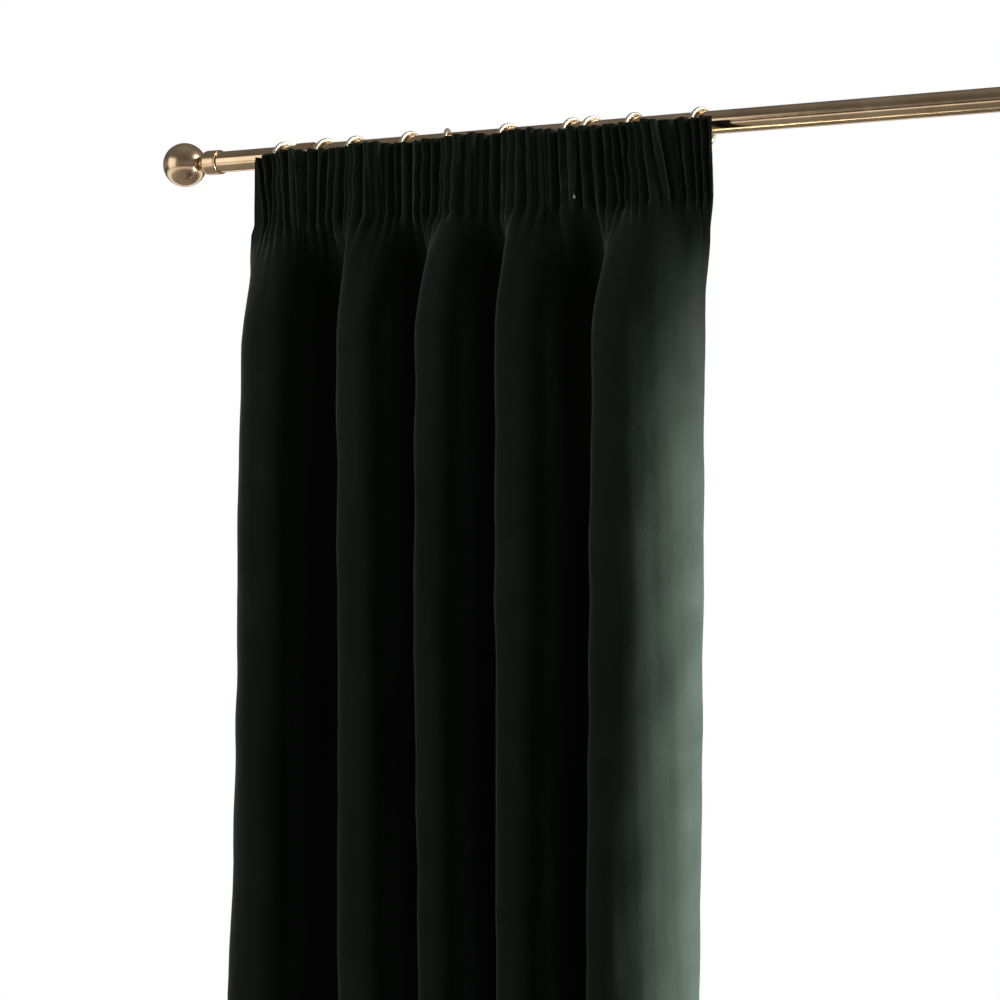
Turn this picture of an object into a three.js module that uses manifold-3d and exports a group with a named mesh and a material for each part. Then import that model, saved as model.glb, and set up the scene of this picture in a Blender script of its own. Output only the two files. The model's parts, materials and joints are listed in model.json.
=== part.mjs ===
// A lined velvet curtain with a pencil-pleat heading, hung by ten metal rings on a round
// metal pole that has a ball finial at each end and stands off the wall on two brackets.
// Millimetres. +X runs along the pole, +Y points into the wall, +Z is up.
// The origin is the centre of the left wall plate's back face.

import * as THREE from "three";
import { mergeVertices } from "three/addons/utils/BufferGeometryUtils.js";
import Module from "manifold-3d";

const wasm = await Module();
wasm.setup();

// ---------- driving dimensions ----------

const TOUCH = 0.3; // gap kept between pieces that touch

// pole
const poleRadius = 14;
const poleWall = 1;
const poleLength = 1500;
const poleSides = 40;
const poleStandOff = 95; // wall to the pole's axis

// brackets
const bracketInset = 157; // pole end to the bracket's centre
const plateRadius = 28;
const plateThickness = 5;
const plateChamfer = 1.5;
const plateScrewOffset = 18; // above and below the plate's centre
const armBaseRadius = 10;
const armBaseLength = 8;
const armRadius = 7;
const cupWall = 2;
const cupWidth = 25;
const poleClearance = 0.3; // pole to the cup and to the finial's collar

// screws
const wallScrewRadius = 2;
const wallScrewLength = 35;
const wallScrewHeadRadius = 4;
const wallScrewHeadHeight = 2.4;
const screwClearance = 0.3;
const lockScrewRadius = 2;
const lockScrewHeadRadius = 3.2;
const lockScrewHeadHeight = 3;

// finials, measured outwards from the pole's end
const ballRadius = 29.5;
const ballCentre = 41; // pole end to the ball's centre
const neckRadius = 8;
const neckReach = 33; // ball centre to the end of its neck
const collarWall = 2.1;
const collarLength = 22; // the straight part of the collar
const collarOverlap = 19; // how far the pole goes into the collar
const shoulderRadius = 9;
const grubScrewRadius = 1.8;
const grubScrewPlace = 8; // from the collar's open rim

// rings, in millimetres from the left bracket, and each ring's twist about the vertical
const ringPlaces = [-33, 33, 79, 161, 214, 304, 393, 420, 477, 564];
const ringTwists = [-15, -17, -14, -13, 20, -16, -14, -17, -12, -15];
const ringRadius = 22.5; // to the middle of the wire
const ringWire = 2.75;
const eyeletRadius = 4.75;
const eyeletWire = 1;
const eyeletStem = 2.5;
const eyeletStemRadius = 1.6;

// hooks
const hookBar = 2.2;
const hookWidth = 3;

// curtain
const curtainDrop = 1830; // heading top to hem
const headingTop = 2; // above the pole's axis
const headingHeight = 88; // gathered band
const foldsFullAt = 260; // below the axis, where the folds reach their full depth
const foldOnset = 0.7; // under 1 makes the folds deepen sooner below the heading
const foldDepth = 122; // front of a fold to the back of its valley
const foldBulge = 1.08; // over 1 makes a fold wider in front than at its neck
const foldPlaces = [-62, -14, 62, 140, 192, 249, 305, 364, 428, 506, 594]; // edge, fold, valley ...
const foldDrifts = [-33, -24, -5, 12, 10, 8, 6, 5, -8, -13, -11]; // sideways, driftHeight lower down
const driftHeight = 1000;
const edgeDepth = 62; // how far the two side edges turn back from the folds' fronts
const columnStep = 14; // about how far apart the cloth's columns are at the heading
const pleatDepth = 12; // thickness of the gathered heading
const faceThickness = 3;
const liningThickness = 1.6;
const liningSpacing = 7; // middle of the face cloth to the middle of the lining
const liningHemRise = 25; // the lining's hem is this much higher

// heading tape
const tapeHeight = 75;
const tapeThickness = 1.2;
const tapeFromTop = 12;
const tapeSideInset = 12;
const stripHeight = 10.5;
const stripThickness = 0.8;
const stripTop = -56;
const hookSeat = 4; // half the width of heading that stays flat at each hook
const drawCordRadius = 1;
const drawCordInset = 5; // from the tape's edges
const headingBows = [14, -5, 20, -5, 18, 18, 11, -5, 20]; // forward of the hooks, between the rings
const ringToTape = 1.6; // room between the rings and the cords on the tape

// ---------- materials ----------

const brass = (name) =>
  new THREE.MeshStandardMaterial({ name, color: 0xa98a55, roughness: 0.22, metalness: 1 });
const agedSteel = () =>
  new THREE.MeshStandardMaterial({ name: "screw", color: 0x6f655a, roughness: 0.45, metalness: 1 });
const velvet = () =>
  new THREE.MeshStandardMaterial({ name: "velvet", color: 0x12201a, roughness: 0.95, metalness: 0 });
const liningCloth = () =>
  new THREE.MeshStandardMaterial({ name: "lining", color: 0xd8cfb8, roughness: 0.9, metalness: 0 });
const wovenTape = () =>
  new THREE.MeshStandardMaterial({ name: "tape", color: 0xe6e2d8, roughness: 0.85, metalness: 0 });
const nylon = () =>
  new THREE.MeshStandardMaterial({ name: "hook", color: 0xe9e7df, roughness: 0.4, metalness: 0 });

// ---------- helpers ----------

function toSolid(geometry) {
  const bare = geometry.clone();
  bare.deleteAttribute("normal");
  bare.deleteAttribute("uv");
  const merged = mergeVertices(bare, 1e-4);
  return new wasm.Manifold(
    new wasm.Mesh({
      numProp: 3,
      vertProperties: new Float32Array(merged.attributes.position.array),
      triVerts: new Uint32Array(merged.index.array),
    })
  );
}

function toGeometry(solid) {
  const { vertProperties, triVerts } = solid.getMesh();
  const geometry = new THREE.BufferGeometry();
  geometry.setAttribute("position", new THREE.BufferAttribute(new Float32Array(vertProperties), 3));
  geometry.setIndex(new THREE.BufferAttribute(new Uint32Array(triVerts), 1));
  geometry.computeVertexNormals();
  return geometry;
}

const group = new THREE.Group();

function place(name, geometry, material) {
  const mesh = new THREE.Mesh(geometry, material);
  mesh.name = name;
  group.add(mesh);
  return mesh;
}

// a closed profile of [radius, height] points turned about Z
function turned(profile, segments = 24) {
  const points = profile.map(([r, h]) => new THREE.Vector2(r, h));
  return new THREE.LatheGeometry(points, segments).rotateX(Math.PI / 2);
}

function rod(radius, from, to, segments = 16) {
  return turned([[0, from], [radius, from], [radius, to], [0, to]], segments);
}

// turns a shape made about +Z so that it points along -Y, out of the wall
const outOfWall = (geometry) => geometry.rotateX(Math.PI / 2);

// turns a shape made about +Z so that it points along +X
const alongPole = (geometry) => geometry.rotateY(Math.PI / 2);

const smooth = (t) => {
  const c = Math.min(1, Math.max(0, t));
  return c * c * (3 - 2 * c);
};

const poleY = -poleStandOff;
const poleStart = -bracketInset;
const poleEnd = poleStart + poleLength;
const rightBracket = poleEnd - bracketInset;

// ---------- pole ----------

function poleTube() {
  const inner = poleRadius - poleWall;
  const profile = [
    [inner, 0],
    [poleRadius, 0],
    [poleRadius, poleLength],
    [inner, poleLength],
    [inner, 0],
  ];
  return alongPole(turned(profile, poleSides)).translate(poleStart, poleY, 0);
}

place("pole_tube", poleTube(), brass("pole"));

// ---------- brackets ----------

const cupInner = poleRadius + poleClearance;
const cupOuter = cupInner + cupWall;

function wallPlate() {
  const profile = [
    [0, 0],
    [plateRadius, 0],
    [plateRadius, plateThickness - plateChamfer],
    [plateRadius - plateChamfer, plateThickness],
    [0, plateThickness],
  ];
  let plate = toSolid(outOfWall(turned(profile, 32)));
  const holeRadius = wallScrewRadius + screwClearance;
  const sinkRadius = wallScrewHeadRadius + screwClearance;
  const sinkDepth = wallScrewHeadHeight + screwClearance;
  const sink = [
    [0, -1],
    [holeRadius, -1],
    [holeRadius, plateThickness - sinkDepth],
    [sinkRadius, plateThickness],
    [sinkRadius, plateThickness + 1],
    [0, plateThickness + 1],
  ];
  for (const side of [-1, 1]) {
    const cutter = outOfWall(turned(sink, 16)).translate(0, 0, side * plateScrewOffset);
    plate = plate.subtract(toSolid(cutter));
  }
  return toGeometry(plate);
}

function wallScrew() {
  const headTop = plateThickness - 0.2;
  const profile = [
    [0, headTop - wallScrewLength],
    [wallScrewRadius, headTop - wallScrewLength + 4],
    [wallScrewRadius, headTop - wallScrewHeadHeight],
    [wallScrewHeadRadius, headTop],
    [0, headTop],
  ];
  return outOfWall(turned(profile, 12));
}

function bracketArm() {
  const start = plateThickness + TOUCH;
  const profile = [
    [0, start],
    [armBaseRadius, start],
    [armBaseRadius, start + 2],
    [armRadius, start + armBaseLength],
    [armRadius, poleStandOff],
    [0, poleStandOff],
  ];
  const arm = toSolid(outOfWall(turned(profile, 20)));
  const saddle = alongPole(rod(cupOuter + TOUCH, -cupWidth, cupWidth, poleSides));
  return toGeometry(arm.subtract(toSolid(saddle.translate(0, poleY, 0))));
}

function bracketCup() {
  const half = cupWidth / 2;
  const profile = [
    [cupInner, -half],
    [cupOuter, -half],
    [cupOuter, half],
    [cupInner, half],
    [cupInner, -half],
  ];
  const cup = toSolid(alongPole(turned(profile, poleSides)));
  const hole = rod(lockScrewRadius + screwClearance, -cupOuter - 2, -cupInner + 2, 12);
  return toGeometry(cup.subtract(toSolid(hole))).translate(0, poleY, 0);
}

function lockScrew() {
  const tip = -poleRadius - TOUCH;
  const head = -cupOuter - TOUCH;
  const profile = [
    [0, head - lockScrewHeadHeight],
    [lockScrewHeadRadius, head - lockScrewHeadHeight],
    [lockScrewHeadRadius, head],
    [lockScrewRadius, head],
    [lockScrewRadius, tip],
    [0, tip],
  ];
  return turned(profile, 12).translate(0, poleY, 0);
}

for (const [side, x] of [["left", 0], ["right", rightBracket]]) {
  place(`${side}_wall_plate`, wallPlate().translate(x, 0, 0), brass("bracket"));
  place(`${side}_bracket_arm`, bracketArm().translate(x, 0, 0), brass("bracket"));
  place(`${side}_bracket_cup`, bracketCup().translate(x, 0, 0), brass("bracket"));
  place(`${side}_pole_lock_screw`, lockScrew().translate(x, 0, 0), agedSteel());
  for (const [row, z] of [["upper", plateScrewOffset], ["lower", -plateScrewOffset]]) {
    place(`${side}_wall_screw_${row}`, wallScrew().translate(x, 0, z), agedSteel());
  }
}

// ---------- finials, drawn from the ball's centre with the pole along +Z ----------

const collarRim = ballCentre + collarOverlap;
const collarStart = collarRim - collarLength;
const collarBore = poleRadius + poleClearance;
const collarRadius = collarBore + collarWall;
const collarFloor = ballCentre - TOUCH;

function finialBall() {
  const join = Math.asin(neckRadius / ballRadius);
  const profile = [[0, -ballRadius]];
  const steps = 12;
  for (let i = 1; i <= steps; i++) {
    const angle = Math.PI - ((Math.PI - join) * i) / steps;
    profile.push([ballRadius * Math.sin(angle), ballRadius * Math.cos(angle)]);
  }
  profile.push([neckRadius, neckReach], [0, neckReach]);
  return turned(profile, 24);
}

function finialCollar() {
  const start = neckReach + TOUCH;
  const profile = [
    [0, start],
    [shoulderRadius, start],
    [collarRadius - 0.8, collarStart],
    [collarRadius, collarStart + 0.8],
    [collarRadius, collarRim - 0.5],
    [collarRadius - 0.5, collarRim],
    [collarBore, collarRim],
    [collarBore, collarFloor],
    [0, collarFloor],
  ];
  const collar = toSolid(turned(profile, poleSides));
  const hole = rod(grubScrewRadius + screwClearance, collarBore - 1, collarRadius + 1, 10);
  return toGeometry(collar.subtract(toSolid(hole.rotateX(-Math.PI / 2).translate(0, 0, grubAlong))));
}

const grubAlong = collarRim - grubScrewPlace;

function grubScrew() {
  const screw = rod(grubScrewRadius, poleRadius + TOUCH, collarRadius + 0.2, 10);
  return screw.rotateX(-Math.PI / 2).translate(0, 0, grubAlong);
}

for (const [side, x, turn] of [
  ["left", poleStart - ballCentre, 1],
  ["right", poleEnd + ballCentre, -1],
]) {
  const set = (geometry) =>
    geometry.rotateY((turn * Math.PI) / 2).translate(x, poleY, 0);
  place(`${side}_finial_ball`, set(finialBall()), brass("finial"));
  place(`${side}_finial_collar`, set(finialCollar()), brass("finial"));
  place(`${side}_finial_grub_screw`, set(grubScrew()), agedSteel());
}

// ---------- rings, eyelets and hooks ----------

const ringZ = poleRadius + TOUCH - (ringRadius - ringWire);
const ringBottom = ringZ - ringRadius - ringWire;
const eyeletZ = ringBottom - eyeletStem - eyeletWire - eyeletRadius;
const ringFront = poleY - ringRadius - ringWire;
const tapeBack = ringFront - ringToTape - 2 * drawCordRadius;

function ring() {
  return new THREE.TorusGeometry(ringRadius, ringWire, 7, 24).rotateY(Math.PI / 2);
}

function eyelet() {
  const loop = new THREE.TorusGeometry(eyeletRadius, eyeletWire, 5, 12).rotateX(Math.PI / 2);
  const stem = rod(eyeletStemRadius, eyeletRadius, eyeletRadius + eyeletWire + eyeletStem - TOUCH, 8);
  return toGeometry(toSolid(loop).add(toSolid(stem))).translate(0, 0, eyeletZ);
}

// the outline of a flat bar that follows a line of [y, z] points
function barOutline(line, width) {
  const points = line.map(([y, z]) => new THREE.Vector2(y, z));
  const left = [];
  const right = [];
  points.forEach((point, i) => {
    const before = points[Math.max(0, i - 1)];
    const after = points[Math.min(points.length - 1, i + 1)];
    const along = after.clone().sub(before).normalize();
    const across = new THREE.Vector2(-along.y, along.x).multiplyScalar(width / 2);
    left.push(point.clone().add(across));
    right.unshift(point.clone().sub(across));
  });
  return new THREE.Shape([...left, ...right]);
}

function hook() {
  // the eyelet's wire climbs away on both sides of the middle of the hook
  const climb = eyeletRadius - Math.sqrt(eyeletRadius ** 2 - (hookWidth / 2 + eyeletWire) ** 2);
  const crown = eyeletZ - eyeletRadius + eyeletWire + climb + TOUCH + hookBar / 2;
  const bend = hookBar / 2 + eyeletWire + 4 * TOUCH;
  const leg = tapeBack + TOUCH + hookBar / 2;
  const shank = leg + hookBar + stripThickness + 2 * TOUCH;
  const turn = stripTop - stripHeight - 3;
  const line = [[poleY + bend + 1, crown - 7]];
  for (let i = 0; i <= 4; i++) {
    const angle = (Math.PI * i) / 5;
    line.push([poleY + bend * Math.cos(angle), crown - bend + bend * Math.sin(angle)]);
  }
  line.push([poleY - bend - 3, crown - bend - 2.5]);
  line.push([shank + 5, stripTop + 3]);
  line.push([shank, stripTop - 1]);
  line.push([shank, turn]);
  line.push([(shank + leg) / 2, turn - (shank - leg) / 2]);
  line.push([leg, turn]);
  line.push([leg, stripTop + 3]);
  const shape = barOutline(line, hookBar);
  const bar = new THREE.ExtrudeGeometry(shape, { depth: hookWidth, bevelEnabled: false, steps: 1 });
  // the shape's x and y become the part's Y and Z, and its thickness lies along X
  bar.translate(0, 0, -hookWidth / 2);
  const turnShape = new THREE.Matrix4().makeBasis(
    new THREE.Vector3(0, 1, 0),
    new THREE.Vector3(0, 0, 1),
    new THREE.Vector3(1, 0, 0)
  );
  return bar.applyMatrix4(turnShape);
}

ringPlaces.forEach((x, i) => {
  const number = String(i + 1).padStart(2, "0");
  const twist = THREE.MathUtils.degToRad(ringTwists[i]);
  const hang = (name, geometry, material) => {
    const mesh = place(`${name}_${number}`, geometry, material);
    mesh.position.set(x, poleY, 0);
    mesh.rotation.z = twist;
  };
  hang("ring", ring().translate(0, 0, ringZ), brass("ring"));
  hang("eyelet", eyelet(), brass("ring"));
  place(`hook_${number}`, hook().translate(x, 0, 0), nylon());
});

// ---------- curtain ----------

const curtainLeft = foldPlaces[0];
const curtainRight = foldPlaces[foldPlaces.length - 1];

// the heading is flat for a little way on both sides of each hook, and bows between them
function headingBow(x) {
  const next = ringPlaces.findIndex((stop) => x <= stop);
  if (next < 1) return 0;
  const start = ringPlaces[next - 1] + hookSeat;
  const t = (x - start) / (ringPlaces[next] - hookSeat - start);
  if (t <= 0 || t >= 1) return 0;
  return headingBows[next - 1] * Math.sin(Math.PI * t) ** 2;
}

// where the cloth's columns start at the heading, from the left edge to the right
function columnPlaces() {
  const inset = [curtainLeft + tapeSideInset, curtainRight - tapeSideInset];
  const places = [curtainLeft, inset[0]];
  const stops = [inset[0] - hookSeat, ...ringPlaces, inset[1] + hookSeat];
  for (let i = 0; i + 1 < stops.length; i++) {
    const from = stops[i] + hookSeat;
    const to = stops[i + 1] - hookSeat;
    const steps = Math.max(2, Math.round((to - from) / columnStep));
    for (let k = i === 0 ? 1 : 0; k <= steps; k++) places.push(from + ((to - from) * k) / steps);
    if (i + 2 < stops.length) places.push(to + hookSeat / 2, to + hookSeat * 1.5);
  }
  return [...places, curtainRight];
}

// the folded cloth in plan: its side edges turn back in a quarter round, and between them
// it swings from the front of each fold to the back of the next valley
function foldPoint(place, drift) {
  const last = foldPlaces.length - 2;
  const half = Math.min(last, foldPlaces.findLastIndex((fold) => fold <= place));
  const [from, to] = [half, half + 1].map((i) => foldPlaces[i] + drift * foldDrifts[i]);
  const t = (place - foldPlaces[half]) / (foldPlaces[half + 1] - foldPlaces[half]);
  const isEdge = half === 0 || half === last;
  if (isEdge) {
    const away = (half === 0 ? 1 - t : t) * (Math.PI / 2);
    const [fold, edge] = half === 0 ? [to, from] : [from, to];
    const back = edgeDepth * (1 - Math.cos(away));
    return new THREE.Vector2(fold + (edge - fold) * Math.sin(away), back);
  }
  const x = from + (to - from) * (t + (foldBulge * Math.sin(2 * Math.PI * t)) / (2 * Math.PI));
  const awayFromFold = half % 2 === 0 ? 1 - t : t;
  return new THREE.Vector2(x, foldDepth * (0.5 - 0.5 * Math.cos(Math.PI * awayFromFold)));
}

// a point of the cloth's middle surface in plan: place is where it starts at the heading,
// depth is 0 in the heading and 1 where the folds are full, and drift is 0 at the heading
function clothPoint(place, depth, drift) {
  const heading = new THREE.Vector2(place, pleatMiddle - headingBow(place));
  const fold = foldPoint(place, drift);
  fold.y += pleatMiddle - foldDepth / 2;
  return heading.lerp(fold, depth);
}

// the directions pointing from a plan line to its wall side
function backwards(line) {
  return line.map((point, i) => {
    const before = line[Math.max(0, i - 1)];
    const after = line[Math.min(line.length - 1, i + 1)];
    const along = after.clone().sub(before).normalize();
    return new THREE.Vector2(-along.y, along.x);
  });
}

// a closed sheet: each level has a height, a thickness, and a shift from the cloth's middle
// surface towards the wall; trim leaves out that many columns at each side
function sheetSolid(levels, trim = 0) {
  const rows = levels.map(({ z, thickness, shift = 0 }) => {
    const middle = clothLine(z);
    const back = backwards(middle);
    const row = middle.map((point, i) => {
      const at = (offset) => {
        const p = point.clone().addScaledVector(back[i], offset);
        return [p.x, p.y, z];
      };
      return [at(shift - thickness / 2), at(shift + thickness / 2)];
    });
    return row.slice(trim, row.length - trim);
  });
  const count = rows[0].length;
  const positions = [];
  const index = (row, column, side) => (row * count + column) * 2 + side;
  rows.flat().forEach(([front, back]) => positions.push(...front, ...back));
  const faces = [];
  const quad = (a, b, c, d) => faces.push(a, b, c, a, c, d);
  const lastRow = rows.length - 1;
  for (let r = 0; r < lastRow; r++) {
    for (let c = 0; c + 1 < count; c++) {
      quad(index(r, c, 0), index(r + 1, c, 0), index(r + 1, c + 1, 0), index(r, c + 1, 0));
      quad(index(r, c, 1), index(r, c + 1, 1), index(r + 1, c + 1, 1), index(r + 1, c, 1));
    }
    quad(index(r, 0, 1), index(r + 1, 0, 1), index(r + 1, 0, 0), index(r, 0, 0));
    const e = count - 1;
    quad(index(r, e, 0), index(r + 1, e, 0), index(r + 1, e, 1), index(r, e, 1));
  }
  for (let c = 0; c + 1 < count; c++) {
    quad(index(0, c, 0), index(0, c + 1, 0), index(0, c + 1, 1), index(0, c, 1));
    quad(index(lastRow, c, 1), index(lastRow, c + 1, 1), index(lastRow, c + 1, 0), index(lastRow, c, 0));
  }
  const geometry = new THREE.BufferGeometry();
  geometry.setAttribute("position", new THREE.BufferAttribute(new Float32Array(positions), 3));
  geometry.setIndex(faces);
  geometry.computeVertexNormals();
  return geometry;
}

const tapeTop = headingTop - tapeFromTop;
const tapeBottom = tapeTop - tapeHeight;
const hemZ = headingTop - curtainDrop;
const tapeMiddle = tapeBack - tapeThickness / 2;
const pleatMiddle = tapeBack - tapeThickness - TOUCH - pleatDepth / 2;

const columns = columnPlaces();

const gatherEnd = headingTop - headingHeight;
const liningTop = Math.min(gatherEnd, tapeBottom) - 6;
const foldLevels = [25, 60, 110].map((below) => gatherEnd - below);

// the cloth's middle surface in plan at a height
function clothLine(z) {
  const below = Math.max(0, (liningTop - z) / (liningTop + foldsFullAt));
  const depth = smooth(below ** foldOnset);
  const drift = Math.max(0, liningTop - z) / driftHeight;
  return columns.map((place) => clothPoint(place, depth, Math.min(drift, 1)));
}

function faceCloth() {
  const level = (z, thickness) => ({ z, thickness });
  return sheetSolid([
    level(headingTop, pleatDepth - 2),
    level(tapeTop, pleatDepth),
    level(liningTop, pleatDepth),
    level(foldLevels[0], faceThickness + 3),
    level(foldLevels[1], faceThickness),
    level(foldLevels[2], faceThickness),
    level(-foldsFullAt, faceThickness),
    level(liningTop - driftHeight, faceThickness),
    level(hemZ, faceThickness),
  ]);
}

function liningSheet() {
  const level = (z, shift) => ({ z, thickness: liningThickness, shift });
  const behindPleats = pleatDepth / 2 + liningThickness / 2 + 1;
  const below = [...foldLevels, -foldsFullAt, liningTop - driftHeight, hemZ + liningHemRise];
  return sheetSolid([level(liningTop, behindPleats), ...below.map((z) => level(z, liningSpacing))], 1);
}

// a straight band on the back of the heading, with its middle at a given Y beside the hooks
function band(top, height, y, thickness) {
  const shift = y - pleatMiddle;
  return sheetSolid([top, top - height].map((z) => ({ z, thickness, shift })), 1);
}

// a route that turns exactly at its points
class StraightRuns extends THREE.Curve {
  constructor(points) {
    super();
    this.points = points;
  }
  getPoint(t) {
    const place = Math.min(Math.max(t, 0), 1) * (this.points.length - 1);
    const first = Math.min(Math.floor(place), this.points.length - 2);
    return this.points[first].clone().lerp(this.points[first + 1], place - first);
  }
  getUtoTmapping(u) {
    return u;
  }
}

function drawCord(z) {
  const middle = clothLine(z);
  const shift = tapeBack + TOUCH + drawCordRadius - pleatMiddle;
  const back = backwards(middle);
  const points = middle.map((point, i) => point.clone().addScaledVector(back[i], shift)).slice(1, -1);
  const section = new THREE.Shape();
  section.absarc(0, 0, drawCordRadius, 0, 2 * Math.PI, false);
  return new THREE.ExtrudeGeometry(section, {
    curveSegments: 3,
    steps: points.length - 1,
    bevelEnabled: false,
    extrudePath: new StraightRuns(points.map((p) => new THREE.Vector3(p.x, p.y, z))),
  });
}

place("curtain_face", faceCloth(), velvet());
place("curtain_lining", liningSheet(), liningCloth());
place("heading_tape", band(tapeTop, tapeHeight, tapeMiddle, tapeThickness), wovenTape());
const stripMiddle = tapeBack + 2 * TOUCH + hookBar + stripThickness / 2;
place("hook_pocket_strip", band(stripTop, stripHeight, stripMiddle, stripThickness), wovenTape());
place("draw_cord_upper", drawCord(tapeTop - drawCordInset), wovenTape());
place("draw_cord_lower", drawCord(tapeBottom + drawCordInset), wovenTape());

export default group;
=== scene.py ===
# A lined velvet curtain on a brass pole: fine meshes, materials, light and camera,
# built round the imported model. Metres; the pole runs along X and the wall is at Y = 0.
import json
import math

import bmesh
import bpy
import numpy as np
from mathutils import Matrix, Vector


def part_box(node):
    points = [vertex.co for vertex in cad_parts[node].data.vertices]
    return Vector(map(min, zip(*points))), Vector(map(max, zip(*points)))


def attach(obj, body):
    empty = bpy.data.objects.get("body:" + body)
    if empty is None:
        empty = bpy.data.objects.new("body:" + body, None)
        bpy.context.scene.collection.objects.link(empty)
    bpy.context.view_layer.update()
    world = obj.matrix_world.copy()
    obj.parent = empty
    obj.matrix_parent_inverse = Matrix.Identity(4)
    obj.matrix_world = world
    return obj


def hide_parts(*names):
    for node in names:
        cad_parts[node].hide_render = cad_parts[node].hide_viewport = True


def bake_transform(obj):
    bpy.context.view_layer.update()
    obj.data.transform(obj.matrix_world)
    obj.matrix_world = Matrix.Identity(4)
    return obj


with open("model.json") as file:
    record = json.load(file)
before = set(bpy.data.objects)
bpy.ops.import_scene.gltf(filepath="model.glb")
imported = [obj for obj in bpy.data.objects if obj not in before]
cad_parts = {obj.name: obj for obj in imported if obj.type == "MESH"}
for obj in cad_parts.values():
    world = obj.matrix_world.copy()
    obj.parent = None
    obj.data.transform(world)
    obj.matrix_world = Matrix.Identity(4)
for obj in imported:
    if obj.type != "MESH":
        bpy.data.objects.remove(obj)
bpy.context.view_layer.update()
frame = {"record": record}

MM = 0.001
body_of_node = {
    node: body
    for body, nodes in frame["record"]["behaviour"]["bodies"].items()
    for node in nodes
}


def centre(node):
    low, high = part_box(node)
    return (low + high) / 2


POLE = centre("pole_tube")
POLE_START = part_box("pole_tube")[0].x
POLE_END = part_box("pole_tube")[1].x
POLE_RADIUS = 14 * MM
POLE_WALL = 1 * MM
BALL_RADIUS = 29.5 * MM
BALL_CENTRE = 41 * MM  # beyond the pole's end
RING_NUMBERS = [f"{i:02}" for i in range(1, 11)]
RING_X = np.array([centre(f"ring_{n}").x for n in RING_NUMBERS])

# ---------- camera ----------

CAMERA_YAW = math.radians(29)
CAMERA_LENS = 80.64  # millimetres, on a 36 mm sensor
CAMERA_SHIFT = -0.035
CAMERA_FROM_BALL = Vector((1.8427, -2.445, -0.406))

camera_data = bpy.data.cameras.new("camera")
camera_data.sensor_width = 36
camera_data.lens = CAMERA_LENS
camera_data.shift_y = CAMERA_SHIFT
camera_data.clip_start = 0.05
camera = bpy.data.objects.new("camera", camera_data)
bpy.context.scene.collection.objects.link(camera)
camera.location = Vector((POLE_START - BALL_CENTRE, POLE.y, POLE.z)) + CAMERA_FROM_BALL
camera.rotation_euler = (math.pi / 2, 0, CAMERA_YAW)
bpy.context.scene.camera = camera
bpy.context.scene.view_settings.view_transform = "Standard"

# ---------- shader helpers ----------


class Nodes:
    """The node tree of one new material."""

    def __init__(self, name):
        self.material = bpy.data.materials.new(name)
        self.material.use_nodes = True
        self.tree = self.material.node_tree
        self.shader = self.tree.nodes["Principled BSDF"]

    def add(self, kind, **settings):
        node = self.tree.nodes.new(kind)
        for key, value in settings.items():
            setattr(node, key, value)
        return node

    def link(self, source, target):
        if hasattr(source, "is_output"):
            self.tree.links.new(source, target)
        else:
            target.default_value = source

    def coordinates(self, scale=(1, 1, 1), attribute=None):
        if attribute:
            place = self.add("ShaderNodeAttribute", attribute_name=attribute).outputs["Vector"]
        else:
            place = self.add("ShaderNodeTexCoord").outputs["Object"]
        mapping = self.add("ShaderNodeMapping")
        mapping.inputs["Scale"].default_value = scale
        self.link(place, mapping.inputs["Vector"])
        return mapping.outputs["Vector"]

    def noise(self, vector, scale, detail=2.0, roughness=0.5, distortion=0.0):
        node = self.add("ShaderNodeTexNoise")
        self.link(vector, node.inputs["Vector"])
        node.inputs["Scale"].default_value = scale
        node.inputs["Detail"].default_value = detail
        node.inputs["Roughness"].default_value = roughness
        node.inputs["Distortion"].default_value = distortion
        return node.outputs["Fac"]

    def waves(self, vector, scale, direction, distortion=0.0, detail=0.0):
        node = self.add("ShaderNodeTexWave", bands_direction=direction)
        self.link(vector, node.inputs["Vector"])
        node.inputs["Scale"].default_value = scale
        node.inputs["Distortion"].default_value = distortion
        node.inputs["Detail"].default_value = detail
        return node.outputs["Fac"]

    def remap(self, value, low, high, to_low, to_high):
        node = self.add("ShaderNodeMapRange")
        self.link(value, node.inputs["Value"])
        for socket, number in zip(
            ("From Min", "From Max", "To Min", "To Max"), (low, high, to_low, to_high)
        ):
            node.inputs[socket].default_value = number
        return node.outputs["Result"]

    def math(self, operation, a, b):
        node = self.add("ShaderNodeMath", operation=operation)
        self.link(a, node.inputs[0])
        self.link(b, node.inputs[1])
        return node.outputs[0]

    def mix(self, factor, a, b):
        node = self.add("ShaderNodeMix", data_type="RGBA")
        self.link(factor, node.inputs["Factor"])
        self.link((*a, 1) if isinstance(a, tuple) else a, node.inputs["A"])
        self.link((*b, 1) if isinstance(b, tuple) else b, node.inputs["B"])
        return node.outputs["Result"]

    def bump(self, height, distance, strength, under=None):
        node = self.add("ShaderNodeBump")
        self.link(height, node.inputs["Height"])
        node.inputs["Distance"].default_value = distance
        node.inputs["Strength"].default_value = strength
        if under:
            self.link(under, node.inputs["Normal"])
        return node.outputs["Normal"]

    def set(self, **values):
        for key, value in values.items():
            self.link(value, self.shader.inputs[key.replace("_", " ")])


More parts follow.
